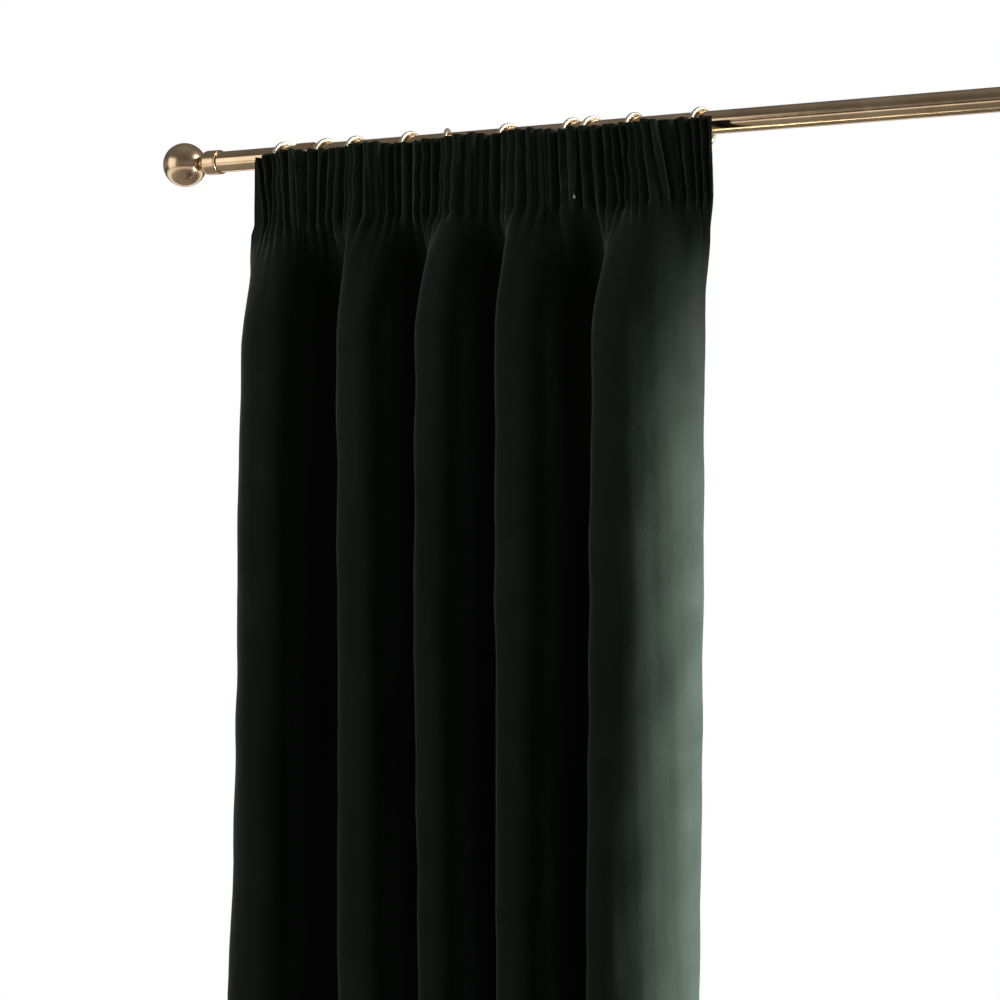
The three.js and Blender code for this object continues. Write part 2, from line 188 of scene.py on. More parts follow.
def metal(name, bright, dull, roughness, drawn_along=None):
    """Polished plated metal: faint tarnish, dulled where it is handled, fine drawing lines."""
    n = Nodes(name)
    place = n.coordinates()
    tarnish = n.noise(place, 14, detail=5, roughness=0.62)
    handled = n.noise(place, 55, detail=4, roughness=0.6)
    grain = n.noise(place, 900, detail=2)
    stretch = {"X": (3, 500, 500), None: (260, 260, 260)}[drawn_along]
    lines = n.noise(n.coordinates(stretch), 1, detail=3)
    n.set(
        Base_Color=n.mix(n.remap(tarnish, 0.35, 0.75, 0, 1), bright, dull),
        Metallic=1.0,
        Roughness=n.math(
            "ADD",
            n.remap(handled, 0.3, 0.7, roughness - 0.035, roughness + 0.05),
            n.remap(lines, 0.3, 0.7, -0.015, 0.02),
        ),
        Normal=n.bump(lines, 0.00002, 0.35, n.bump(grain, 0.00001, 0.2)),
    )
    return n.material


def velvet():
    """Short dense pile: a very dark bottle green that turns pale where it is seen edge on."""
    n = Nodes("velvet")
    place = n.coordinates(attribute="flat_place")
    brushed = n.noise(n.coordinates((5, 2.2, 1), "flat_place"), 1, detail=4, roughness=0.5)
    patches = n.noise(place, 13, detail=4, roughness=0.55, distortion=0.6)
    marks = n.noise(n.coordinates((1, 0.45, 1), "flat_place"), 48, detail=3, distortion=0.4)
    pile = n.noise(place, 1400, detail=2)
    tufts = n.noise(place, 420, detail=3, roughness=0.6)
    # lighter and darker patches and streaks where the pile is brushed: painted sheen, mixed into
    # the colour below; the same mask also varies the roughness
    nap_lie_and_sheen = n.math("ADD", n.remap(brushed, 0.3, 0.7, 0, 0.5), n.remap(patches, 0.3, 0.7, 0, 0.5))
    # darker where the fine pile bump is low: painted shade between the tufts
    tuft_shade = n.mix(n.remap(pile, 0.3, 0.7, 0, 1), (0.74, 0.76, 0.75), (1.0, 1.0, 1.0))
    cloth = n.mix(nap_lie_and_sheen, VELVET_DARK, VELVET_LIGHT)
    color = n.add("ShaderNodeMix", data_type="RGBA", blend_type="MULTIPLY")
    color.inputs["Factor"].default_value = 1
    n.link(cloth, color.inputs["A"])
    n.link(tuft_shade, color.inputs["B"])
    relief = n.bump(marks, 0.0012, 0.30, n.bump(patches, 0.006, 0.25))
    n.set(
        Base_Color=color.outputs["Result"],
        Roughness=n.remap(nap_lie_and_sheen, 0, 1, 0.88, 0.72),
        Specular_IOR_Level=0.12,
        Sheen_Weight=VELVET_SHEEN,
        Sheen_Roughness=0.34,
        Sheen_Tint=(0.74, 0.92, 0.84, 1),
        Normal=n.bump(pile, 0.0003, 0.5, n.bump(tufts, 0.0006, 0.35, relief)),
    )
    return n.material


def woven(name, light, dark, threads, depth, sheen=0.1, roughness=0.85, attribute="flat_place"):
    """Plain cloth: warp and weft threads a given number to the metre, with uneven yarn."""
    n = Nodes(name)
    place = n.coordinates(attribute=attribute)
    warp = n.waves(place, threads / 20, "X", distortion=0.6, detail=1)
    weft = n.waves(place, threads / 20, "Y", distortion=0.6, detail=1)
    weave = n.math("MULTIPLY", warp, weft)
    yarn = n.noise(n.coordinates((2, 60, 1), attribute), 8, detail=4, roughness=0.6)
    soil = n.noise(place, 6, detail=4, roughness=0.6)
    # darker where the threads part: painted shade in the weave's gaps, added to the yarn's own
    # uneven tone; soil is dirt
    weave_gap_shade_and_yarn = n.math("ADD", n.remap(weave, 0, 1, 0.35, 0), n.remap(yarn, 0.3, 0.7, 0, 0.4))
    color = n.mix(n.math("ADD", weave_gap_shade_and_yarn, n.remap(soil, 0.4, 0.7, 0, 0.25)), light, dark)
    n.set(
        Base_Color=color,
        Roughness=n.remap(yarn, 0.3, 0.7, roughness - 0.06, roughness + 0.05),
        Sheen_Weight=sheen,
        Sheen_Roughness=0.5,
        Normal=n.bump(weave, depth, 0.6, n.bump(yarn, depth * 1.5, 0.3)),
    )
    return n.material


def nylon():
    """Moulded translucent plastic."""
    n = Nodes("hook_nylon")
    place = n.coordinates()
    flow = n.noise(place, 160, detail=3)
    n.set(
        Base_Color=n.mix(flow, (0.86, 0.85, 0.80), (0.76, 0.74, 0.66)),
        Roughness=n.remap(flow, 0.3, 0.7, 0.28, 0.42),
        Subsurface_Weight=0.25,
        Subsurface_Scale=0.002,
        Normal=n.bump(flow, 0.0001, 0.2),
    )
    return n.material


BRASS_BRIGHT = (0.66, 0.50, 0.33)
BRASS_DULL = (0.47, 0.33, 0.20)
# VELVET_LIGHT is the painted sheen of brushed pile, mixed over VELVET_DARK
VELVET_DARK = (0.0042, 0.0080, 0.0046)
VELVET_LIGHT = (0.0090, 0.0150, 0.0092)
VELVET_SHEEN = 0.4

materials = {
    "pole": metal("pole_brass", BRASS_BRIGHT, BRASS_DULL, 0.13, drawn_along="X"),
    "finial": metal("finial_brass", BRASS_BRIGHT, BRASS_DULL, 0.24),
    "bracket": metal("bracket_brass", (0.66, 0.48, 0.30), (0.46, 0.31, 0.18), 0.24),
    # the rings' colours are paler and creamier than the pole's brass: a painted highlight standing
    # in for the cream reflections on their crests
    "ring": metal("ring_brass_painted_highlight", (0.95, 0.86, 0.68), (0.80, 0.67, 0.47), 0.33),
    "screw": metal("screw_steel", (0.36, 0.31, 0.26), (0.22, 0.19, 0.16), 0.34),
    "velvet": velvet(),
    "lining": woven("lining_sateen", (0.72, 0.66, 0.53), (0.55, 0.49, 0.37), 2600, 0.0002),
    "tape": woven("tape_weave", (0.82, 0.80, 0.75), (0.60, 0.58, 0.53), 1400, 0.0005),
    "draw_cord": woven(
        "cord_braid", (0.84, 0.82, 0.76), (0.58, 0.56, 0.50), 2200, 0.0004, attribute=None
    ),
    "hook": nylon(),
}

# ---------- mesh helpers ----------

CREASE_ANGLE = math.radians(38)
ON_AXIS = 1e-7  # a lathe point nearer its axis than this is on it


def mesh_object(name, points, faces, slot):
    mesh = bpy.data.meshes.new(name)
    mesh.from_pydata([tuple(p) for p in points], [], faces)
    mesh.validate()
    mesh.update()
    mesh.shade_smooth()
    mesh.set_sharp_from_angle(angle=CREASE_ANGLE)
    mesh.materials.append(materials[slot])
    obj = bpy.data.objects.new(name, mesh)
    bpy.context.scene.collection.objects.link(obj)
    return obj


def stands_for(obj, node):
    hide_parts(node)
    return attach(obj, body_of_node[node])


def softened(outline, radius, steps=4):
    """The same open outline with its corners rounded."""
    points = [Vector(p) for p in outline]
    result = [points[0]]
    for before, corner, after in zip(points, points[1:], points[2:]):
        reach = min(radius, (before - corner).length * 0.45, (after - corner).length * 0.45)
        into = corner + (before - corner).normalized() * reach
        out = corner + (after - corner).normalized() * reach
        for k in range(steps + 1):
            t = k / steps
            result.append(into * (1 - t) ** 2 + corner * (2 * t * (1 - t)) + out * t**2)
    result.append(points[-1])
    return result


AXES = {
    "+X": lambda r, a, h: (h, r * math.cos(a), r * math.sin(a)),
    "-X": lambda r, a, h: (-h, r * math.sin(a), r * math.cos(a)),
    "-Y": lambda r, a, h: (r * math.cos(a), -h, r * math.sin(a)),
    "+Z": lambda r, a, h: (r * math.cos(a), r * math.sin(a), h),
    "-Z": lambda r, a, h: (r * math.sin(a), r * math.cos(a), -h),
}


def turned(profile, axis, origin, segments=64, closed=False):
    """Points and faces of a lathe shape; a profile is (radius, height), made along axis."""
    points, rows = [], []
    for radius, height in profile:
        if radius < ON_AXIS:
            rows.append([len(points)] * segments)
            points.append(Vector(AXES[axis](0, 0, height)) + origin)
            continue
        rows.append(list(range(len(points), len(points) + segments)))
        for k in range(segments):
            angle = 2 * math.pi * k / segments
            points.append(Vector(AXES[axis](radius, angle, height)) + origin)
    faces = []
    pairs = list(zip(rows, rows[1:])) + ([(rows[-1], rows[0])] if closed else [])
    for lower, upper in pairs:
        for k in range(segments):
            m = (k + 1) % segments
            face = []
            for corner in (lower[k], lower[m], upper[m], upper[k]):
                if corner not in face:
                    face.append(corner)
            if len(face) > 2:
                faces.append(face)
    return points, faces


def joined(*parts):
    points, faces = [], []
    for part_points, part_faces in parts:
        faces += [[i + len(points) for i in face] for face in part_faces]
        points += part_points
    return points, faces


def swept(path, section, up, closed=False, twist=0.0):
    """A section of (across, up) points carried along a path; up is one fixed direction."""
    path = [Vector(p) for p in path]
    count, sides = len(path), len(section)
    points, faces = [], []
    for i, point in enumerate(path):
        before = path[i - 1] if closed or i else point
        after = path[(i + 1) % count] if closed or i + 1 < count else point
        along = (after - before).normalized()
        across = along.cross(up).normalized()
        lift = across.cross(along)
        turn = twist * i
        for a, b in section:
            ca = a * math.cos(turn) - b * math.sin(turn)
            cb = a * math.sin(turn) + b * math.cos(turn)
            points.append(point + across * ca + lift * cb)
    for i in range(count if closed else count - 1):
        j = (i + 1) % count
        for k in range(sides):
            m = (k + 1) % sides
            faces.append([i * sides + k, i * sides + m, j * sides + m, j * sides + k])
    if not closed:
        faces.append(list(range(sides))[::-1])
        faces.append([(count - 1) * sides + k for k in range(sides)])
    return points, faces


def circle(radius, sides):
    angles = [2 * math.pi * k / sides for k in range(sides)]
    return [(radius * math.cos(a), radius * math.sin(a)) for a in angles]


def outward(obj):
    """Turns every face of a closed mesh outwards."""
    work = bmesh.new()
    work.from_mesh(obj.data)
    bmesh.ops.recalc_face_normals(work, faces=work.faces)
    work.to_mesh(obj.data)
    work.free()
    return obj


# ---------- pole ----------


def pole_tube():
    length = POLE_END - POLE_START
    inner = POLE_RADIUS - POLE_WALL
    edge = 0.35 * MM
    profile = [
        (inner, edge),
        (inner + edge, 0),
        (POLE_RADIUS - edge, 0),
        (POLE_RADIUS, edge),
        (POLE_RADIUS, length - edge),
        (POLE_RADIUS - edge, length),
        (inner + edge, length),
        (inner, length - edge),
    ]
    origin = Vector((POLE_START, POLE.y, POLE.z))
    obj = mesh_object("pole_tube_turned", *turned(profile, "+X", origin, 96, True), "pole")
    return stands_for(outward(obj), "pole_tube")


pole_tube()

# ---------- brackets ----------

PLATE_RADIUS = 28 * MM
PLATE_THICKNESS = 5 * MM
CUP_INNER = 14.3 * MM
CUP_OUTER = 16.3 * MM
CUP_HALF = 12.5 * MM
GAP = 0.3 * MM


def bracket(side):
    x = centre(f"{side}_wall_plate").x
    wall = Vector((x, 0, POLE.z))
    axle = Vector((x, POLE.y, POLE.z))
    plate = softened(
        [
            (0, 0),
            (PLATE_RADIUS, 0),
            (PLATE_RADIUS, PLATE_THICKNESS - 1.6 * MM),
            (PLATE_RADIUS - 2.6 * MM, PLATE_THICKNESS - 0.2 * MM),
            (12.5 * MM, PLATE_THICKNESS - 0.2 * MM),
            (11.5 * MM, PLATE_THICKNESS),
            (0, PLATE_THICKNESS),
        ],
        0.8 * MM,
    )
    arm = softened(
        [
            (0, PLATE_THICKNESS + GAP),
            (10 * MM, PLATE_THICKNESS + GAP),
            (10 * MM, 8 * MM),
            (7.6 * MM, 12.5 * MM),
            (7 * MM, 16 * MM),
            (7 * MM, -POLE.y - CUP_OUTER - 6 * MM),
            (8.4 * MM, -POLE.y - CUP_OUTER - 4 * MM),
            (8.4 * MM, -POLE.y - CUP_OUTER + 3.2 * MM),
            (0, -POLE.y - CUP_OUTER + 2.4 * MM),
        ],
        1.4 * MM,
    )
    cup = [
        (CUP_INNER, -CUP_HALF + 0.5 * MM),
        (CUP_INNER + 0.5 * MM, -CUP_HALF),
        (CUP_OUTER - 0.8 * MM, -CUP_HALF),
        (CUP_OUTER, -CUP_HALF + 0.8 * MM),
        (CUP_OUTER, CUP_HALF - 0.8 * MM),
        (CUP_OUTER - 0.8 * MM, CUP_HALF),
        (CUP_INNER + 0.5 * MM, CUP_HALF),
        (CUP_INNER, CUP_HALF - 0.5 * MM),
    ]
    pieces = (
        ("wall_plate", "plate_turned", turned(plate, "-Y", wall, 96)),
        ("bracket_arm", "arm_turned", turned(arm, "-Y", wall, 64)),
        ("bracket_cup", "cup_turned", turned(cup, "+X", axle, 96, True)),
    )
    for node, name, shape in pieces:
        obj = mesh_object(f"{side}_{name}", *shape, "bracket")
        stands_for(outward(obj), f"{side}_{node}")
    for row in ("upper", "lower"):
        screw_piece(f"{side}_wall_screw_{row}")
    lock_screw(side, axle)


def slot_recess(radius, depth, top, head):
    """The profile of a dished screw head, from its rim to its socket's floor."""
    return [
        (radius, top),
        (radius * 0.92, top + head * 0.25),
        (radius * 0.52, top + head * 0.32),
        (radius * 0.48, top - depth),
        (0, top - depth * 1.1),
    ]


def screw_piece(node):
    """A countersunk wall screw with a threaded shank."""
    low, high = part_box(node)
    x, z = (low.x + high.x) / 2, (low.z + high.z) / 2
    front, tip = -low.y, -high.y
    neck = front - 2.4 * MM
    thread = []
    turns = 22
    for k in range(turns * 2):
        h = tip + 4 * MM + (neck - tip - 9 * MM) * k / (turns * 2)
        thread.append(((1.35 if k % 2 else 2.0) * MM, h))
    profile = [(0, tip), *thread, (1.9 * MM, neck - 4.6 * MM), (1.9 * MM, neck)]
    profile += [(3.9 * MM, front - 0.25 * MM)]
    profile += slot_recess(3.9 * MM, 1.1 * MM, front - 0.2 * MM, 0.5 * MM)
    shape = turned(profile, "-Y", Vector((x, 0, z)), 32)
    stands_for(outward(mesh_object(f"{node}_turned", *shape, "screw")), node)


def lock_screw(side, axle):
    node = f"{side}_pole_lock_screw"
    low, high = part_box(node)
    head = low.z - POLE.z
    profile = [
        (0, -(high.z - POLE.z)),
        (2 * MM, -(high.z - POLE.z)),
        (2 * MM, -head - 3 * MM),
        (2.9 * MM, -head - 3 * MM),
        (3.2 * MM, -head - 2.6 * MM),
        (3.2 * MM, -head - 0.5 * MM),
        (2.8 * MM, -head),
        (1.5 * MM, -head),
        (1.4 * MM, -head - 1.6 * MM),
        (0, -head - 1.8 * MM),
    ]
    shape = turned(profile, "-Z", axle, 32)
    stands_for(outward(mesh_object(f"{side}_lock_screw_turned", *shape, "screw")), node)


for side in ("left", "right"):
    bracket(side)

# ---------- finials ----------

COLLAR_RIM = 60 * MM
COLLAR_RADIUS = 16.4 * MM


def finial(side):
    sign = 1 if side == "left" else -1
    end = POLE_START if side == "left" else POLE_END
    origin = Vector((end - sign * BALL_CENTRE, POLE.y, POLE.z))
    axis = "+X" if side == "left" else "-X"
    neck = 8 * MM
    join = math.asin(neck / BALL_RADIUS)
    ball = [(0, -BALL_RADIUS)]
    for k in range(1, 41):
        angle = math.pi - (math.pi - join) * k / 40
        ball.append((BALL_RADIUS * math.sin(angle), BALL_RADIUS * math.cos(angle)))
    ball += [(neck, 30.5 * MM), (neck, 32.6 * MM), (neck - 0.4 * MM, 33 * MM), (0, 33 * MM)]
    collar = softened(
        [
            (0, 33.3 * MM),
            (9 * MM, 33.3 * MM),
            (12.2 * MM, 34.4 * MM),
            (15.6 * MM, 37.6 * MM),
            (COLLAR_RADIUS, 40.5 * MM),
            (COLLAR_RADIUS, COLLAR_RIM - 3.2 * MM),
            (COLLAR_RADIUS - 0.5 * MM, COLLAR_RIM - 2.7 * MM),
            (COLLAR_RADIUS - 0.5 * MM, COLLAR_RIM - 2.3 * MM),
            (COLLAR_RADIUS, COLLAR_RIM - 1.9 * MM),
            (COLLAR_RADIUS, COLLAR_RIM - 0.4 * MM),
            (COLLAR_RADIUS - 0.6 * MM, COLLAR_RIM),
            (14.3 * MM, COLLAR_RIM),
            (14.3 * MM, BALL_CENTRE - GAP),
            (0, BALL_CENTRE - GAP),
        ],
        0.7 * MM,
    )
    ball_obj = mesh_object(f"{side}_ball_turned", *turned(ball, axis, origin, 96), "finial")
    stands_for(outward(ball_obj), f"{side}_finial_ball")
    collar_obj = mesh_object(f"{side}_collar_turned", *turned(collar, axis, origin, 96), "finial")
    stands_for(outward(collar_obj), f"{side}_finial_collar")
    node = f"{side}_finial_grub_screw"
    low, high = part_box(node)
    middle = (low + high) / 2
    bottom_is_tip = abs(high.z - POLE.z) > abs(low.z - POLE.z)
    top, tip = (high.z, low.z) if bottom_is_tip else (-low.z, -high.z)
    profile = [
        (0, tip),
        (1.5 * MM, tip),
        (1.8 * MM, tip + 0.3 * MM),
        (1.8 * MM, top - 0.2 * MM),
        (1.6 * MM, top),
        (0.95 * MM, top),
        (0.9 * MM, top - 1.2 * MM),
        (0, top - 1.3 * MM),
    ]
    up = "+Z" if bottom_is_tip else "-Z"
    shape = turned(profile, up, Vector((middle.x, middle.y, 0)), 24)
    stands_for(outward(mesh_object(f"{side}_grub_screw_turned", *shape, "screw")), node)


for side in ("left", "right"):
    finial(side)

# ---------- rings, eyelets and hooks ----------

RING_TWISTS = [-15, -17, -14, -13, 20, -16, -14, -17, -12, -15]
RING_RADIUS = 22.5 * MM
RING_WIRE = 2.75 * MM
RING_Z = -5.45 * MM
EYELET_Z = -38.95 * MM
EYELET_RADIUS = 4.75 * MM
EYELET_WIRE = 1 * MM
TAPE_BACK = -123.85 * MM
STRIP_TOP = -56 * MM
STRIP_HEIGHT = 10.5 * MM
HOOK_BAR = 2.2 * MM


def loop(radius, wire, height, facing, count=96, sides=20):
    """A wire circle in the plane that has facing as its normal."""
    path = []
    for k in range(count):
        angle = 2 * math.pi * k / count
        a, b = radius * math.cos(angle), radius * math.sin(angle)
        path.append((0, a, b + height) if facing == "X" else (a, 0, b + height))
    up = Vector((1, 0, 0)) if facing == "X" else Vector((0, 1, 0))
    return swept(path, circle(wire, sides), up, closed=True)


def twisted(shape, origin, degrees):
    points, faces = shape
    c, s = math.cos(math.radians(degrees)), math.sin(math.radians(degrees))
    turn = [Vector((c * p[0] - s * p[1], s * p[0] + c * p[1], p[2])) + origin for p in points]
    return turn, faces


def hook_shape():
    """A flat moulded hook: over the eyelet, down the tape and up into its pocket."""
    climb = EYELET_RADIUS - math.sqrt(EYELET_RADIUS**2 - (2.5 * MM) ** 2)
    crown = EYELET_Z - EYELET_RADIUS + EYELET_WIRE + climb + GAP + HOOK_BAR / 2
    bend = HOOK_BAR / 2 + EYELET_WIRE + 4 * GAP
    leg = TAPE_BACK + GAP + HOOK_BAR / 2
    shank = leg + HOOK_BAR + 0.8 * MM + 2 * GAP
    turn = STRIP_TOP - STRIP_HEIGHT - 3 * MM
    line = [(POLE.y + bend + 1 * MM, crown - 7 * MM)]
    for k in range(9):
        angle = math.pi * 0.8 * k / 8
        y = POLE.y + bend * math.cos(angle)
        line.append((y, crown - bend + bend * math.sin(angle)))
    line += [
        (POLE.y - bend - 3 * MM, crown - bend - 2.5 * MM),
        (shank + 5 * MM, STRIP_TOP + 3 * MM),
        (shank, STRIP_TOP - 1 * MM),
        (shank, turn),
        ((shank + leg) / 2, turn - (shank - leg) / 2),
        (leg, turn),
        (leg, STRIP_TOP + 3 * MM),
    ]
    line = softened(line, 1.6 * MM, 3)
    half_wide, half_bar = 1.5 * MM, HOOK_BAR / 2
    section = []
    for cx, cy, start in ((1, 1, 0), (-1, 1, 90), (-1, -1, 180), (1, -1, 270)):
        for k in range(4):
            angle = math.radians(start + 30 * k)
            across = cx * (half_bar - 0.5 * MM) + 0.5 * MM * math.cos(angle)
            up = cy * (half_wide - 0.5 * MM) + 0.5 * MM * math.sin(angle)
            section.append((across, up))
    return swept([(0, y, z) for y, z in line], section, Vector((1, 0, 0)))


def rings():
    ring = loop(RING_RADIUS, RING_WIRE, RING_Z, "X")
    eye = loop(EYELET_RADIUS, EYELET_WIRE, EYELET_Z, "Y", 40, 12)
    stem_low, stem_high = EYELET_Z + EYELET_RADIUS - 0.4 * MM, RING_Z - RING_RADIUS - RING_WIRE
    stem_profile = softened(
        [
            (0, stem_low),
            (1.3 * MM, stem_low),
            (1.1 * MM, stem_low + 1 * MM),
            (1.6 * MM, stem_high - 1 * MM),
            (1.6 * MM, stem_high - GAP),
            (0, stem_high - GAP),
        ],
        0.3 * MM,
    )
    stem = turned(stem_profile, "+Z", Vector((0, 0, 0)), 24)
    hook = hook_shape()
    for number, x, twist in zip(RING_NUMBERS, RING_X, RING_TWISTS):
        origin = Vector((x, POLE.y, 0))
        for node, shape in ((f"ring_{number}", ring), (f"eyelet_{number}", joined(eye, stem))):
            obj = mesh_object(f"{node}_wire", *twisted(shape, origin, twist), "ring")
            stands_for(outward(obj), node)
        points = [p + Vector((x, 0, 0)) for p in hook[0]]
        obj = mesh_object(f"hook_{number}_moulded", points, hook[1], "hook")
        stands_for(outward(obj), f"hook_{number}")


rings()

# ---------- the curtain's shape ----------

CURTAIN_DROP = 1830 * MM
HEADING_TOP = 2 * MM
PINCH_Z = -88 * MM  # where the gathers end and the folds begin
FOLDS_FULL_Z = -260 * MM
LINING_TOP = -92 * MM
HEM_Z = HEADING_TOP - CURTAIN_DROP
PLEAT_MIDDLE = -131.35 * MM
FOLD_DEPTH = 122 * MM
FOLD_BULGE = 1.08
FOLD_FLATNESS = 1.22  # over 1 makes the folds' fronts flatter than their valleys
EDGE_DEPTH = 62 * MM
DRIFT_HEIGHT = 1000 * MM
HOOK_SEAT = 4 * MM
HOOK_ROOM = 1.3 * MM  # the heading stands this much forward at each hook
FOLD_PLACES = np.array([-62, -14, 62, 140, 192, 249, 305, 364, 428, 506, 594]) * MM
FOLD_DRIFTS = np.array([-33, -24, -5, 12, 10, 8, 6, 5, -8, -13, -11]) * MM
FOLD_SHIFTS = np.array([9, 8, -1, -6, -8, -9.5, -10, -10.5, -9, -7, -9]) * MM
HEADING_BOWS = np.array([14, -5, 20, -5, 18, 18, 4, -5, 20]) * MM
LEFT, RIGHT = FOLD_PLACES[0], FOLD_PLACES[-1]
PLEAT_PITCH = 12.8 * MM
PLEAT_SIZE = 18.6 * MM
CREASE_SIZE = 6 * MM
WANDER = (1.5 * MM, 2.4 * MM)  # sideways and in depth, how far the folds stray from plumb
HEADING_BACK = 6.15 * MM  # how far back the gathered heading is moved, towards the tape
PLEAT_SEED = 31
PLEAT_FALL = (10 * MM, 55 * MM)  # the shortest and longest reach of a gather below the pinch
CREASE_PITCH = 34 * MM
CREASE_SEED = 41
CREASE_FALL = (45 * MM, 130 * MM)
PLEAT_WIDTHS = (0.72, 1.34)  # shares of the pitch
PLEAT_HEIGHTS = (0.55, 1.0)
LEAN_HEIGHT = 130 * MM  # creases stop leaning this far below the heading's top
PUFF = 6.5 * MM
FLANK_CREASE = 11 * MM
HOOK_REACH = 13 * MM  # how far to each side a hook holds the heading


def smooth(t):
    t = np.clip(t, 0, 1)
    return t * t * (3 - 2 * t)


def near(value, middle, reach):
    """1 at the middle, easing to 0 at that reach on both sides."""
    return 1 - smooth(np.abs(value - middle) / reach)


def soft_noise(u, v, length_u, length_v, seed, count=18):
    """A smooth random field about -1 to 1 with features of about those lengths."""
    draw = np.random.default_rng(seed)
    total = 0
    for _ in range(count):
        ku = draw.normal() * 2 * np.pi / (2 * length_u)
        kv = draw.normal() * 2 * np.pi / (2 * length_v)
        total = total + np.cos(ku * u + kv * v + draw.uniform(0, 2 * np.pi))
    return total / math.sqrt(count / 2) / 1.6


def heading_bow(place):
    bow = np.zeros_like(place)
    for start, end, reach in zip(RING_X, RING_X[1:], HEADING_BOWS):
        t = (place - start - HOOK_SEAT) / (end - start - 2 * HOOK_SEAT)
        inside = (t > 0) & (t < 1)
        bow = np.where(inside, reach * np.sin(np.pi * np.clip(t, 0, 1)) ** 2, bow)
    return bow


def fold_plan(place, drift):
    """x and y of the folded cloth, y counted back from the folds' fronts."""
    last = len(FOLD_PLACES) - 2
    half = np.clip(np.searchsorted(FOLD_PLACES, place, side="right") - 1, 0, last)
    start = FOLD_PLACES[half] + FOLD_SHIFTS[half] + drift * FOLD_DRIFTS[half]
    end = FOLD_PLACES[half + 1] + FOLD_SHIFTS[half + 1] + drift * FOLD_DRIFTS[half + 1]
    t = (place - FOLD_PLACES[half]) / (FOLD_PLACES[half + 1] - FOLD_PLACES[half])
    x = start + (end - start) * (t + FOLD_BULGE * np.sin(2 * np.pi * t) / (2 * np.pi))
    away = np.where(half % 2 == 0, 1 - t, t)
    y = FOLD_DEPTH * (0.5 - 0.5 * np.cos(np.pi * away**FOLD_FLATNESS))
    at_left, at_right = half == 0, half == last
    turn = np.where(at_left, 1 - t, t) * np.pi / 2
    fold = np.where(at_left, end, start)
    edge = np.where(at_left, start, end)
    at_edge = at_left | at_right
    x = np.where(at_edge, fold + (edge - fold) * np.sin(turn), x)
    y = np.where(at_edge, EDGE_DEPTH * (1 - np.cos(turn)), y)
    return x, y


# how far each place's creases lean to the right on their way down, and their places
LEAN_PLACES = np.array([-62, -10, 60, 140, 250, 364, 440, 500, 560, 580, 594]) * MM
LEANS = np.array([0.18, 0.08, -0.05, 0.03, -0.03, 0.03, 0.08, 0.17, 0.12, 0.08, 0.05])


def pleat_edges(pitch, seed):
    draw = np.random.default_rng(seed)
    widths = pitch * draw.uniform(*PLEAT_WIDTHS, int(1.6 * (RIGHT - LEFT) / pitch))
    return LEFT - pitch + np.cumsum(widths)


def pleats(place, z, pitch, seed, fall):
    """Gathers from about 0.3 in their creases to 1 on their fronts, and how they die out."""
    edges = pleat_edges(pitch, seed)
    lean = np.interp(place, LEAN_PLACES, LEANS)
    fallen = np.clip(HEADING_TOP - z, 0, LEAN_HEIGHT)
    phase = np.interp(place - lean * fallen, edges, np.arange(len(edges)))
    index = np.clip(phase.astype(int), 0, len(edges) - 1)
    draw = np.random.default_rng(seed + 1)
    height = draw.uniform(*PLEAT_HEIGHTS, len(edges) + 1)
    shortest, longest = fall
    reach = shortest + (longest - shortest) * draw.uniform(0, 1, len(edges) + 1) ** 1.6
    part = phase - np.floor(phase)
    round_front = np.sqrt(np.sin(np.pi * part) ** 2 + 0.08)
    below = np.clip(PINCH_Z - z, 0, None)

    def nearby(table):
        return table[index] * (1 - part) + table[index + 1] * part

    fade = np.exp(-((below / nearby(reach)) ** 1.25))
    fade = fade * (1 - 0.65 * smooth(below / (60 * MM)))
    return round_front * nearby(height), fade


def middle_surface(place, z):
    """The face cloth's middle, without its gathers."""
    t = (PINCH_Z - z) / (PINCH_Z - FOLDS_FULL_Z)
    depth = smooth(np.clip(t, 0, 1) ** 0.66)
    drift = np.clip((LINING_TOP - z) / DRIFT_HEIGHT, 0, 1)
    fold_x, fold_y = fold_plan(place, drift)
    fold_y = fold_y + PLEAT_MIDDLE - FOLD_DEPTH / 2
    heading_y = PLEAT_MIDDLE - heading_bow(place)
    x = place + (fold_x - place) * depth
    y = heading_y + (fold_y - heading_y) * depth
    return x, y, depth


def normals(x, y, z):
    """Unit directions towards the wall, on a grid of rows from top to bottom."""
    along = np.stack([np.gradient(a, axis=1) for a in (x, y, z)], -1)
    down = np.stack([np.gradient(a, axis=0) for a in (x, y, z)], -1)
    n = np.cross(along, -down)
    n /= np.linalg.norm(n, axis=-1, keepdims=True) + 1e-12
    return -n


COLUMNS = 780
ROW_LEVELS = np.concatenate(
    [
        np.linspace(HEADING_TOP, PINCH_Z, 36)[:-1],
        np.linspace(PINCH_Z, -190 * MM, 36)[:-1],
        np.linspace(-190 * MM, FOLDS_FULL_Z, 18)[:-1],
        np.linspace(FOLDS_FULL_Z, HEM_Z, 84),
    ]
)
places = np.linspace(LEFT, RIGHT, COLUMNS)
PLACE, LEVEL = np.meshgrid(places, ROW_LEVELS)


def wandering(place, level):
    """The middle surface, with folds that stray a little from plumb on their way down."""
    x, y, depth = middle_surface(place, level)
    x = x + depth * WANDER[0] * soft_noise(place, level, 0.11, 0.9, 21)
    y = y + depth * WANDER[1] * soft_noise(place, level, 0.12, 0.6, 22)
    return x, y, depth


def by_hooks(place, reach):
    """1 at each hook, easing to 0 at that reach on both sides."""
    return np.max([near(place, hook, reach) for hook in RING_X], axis=0)


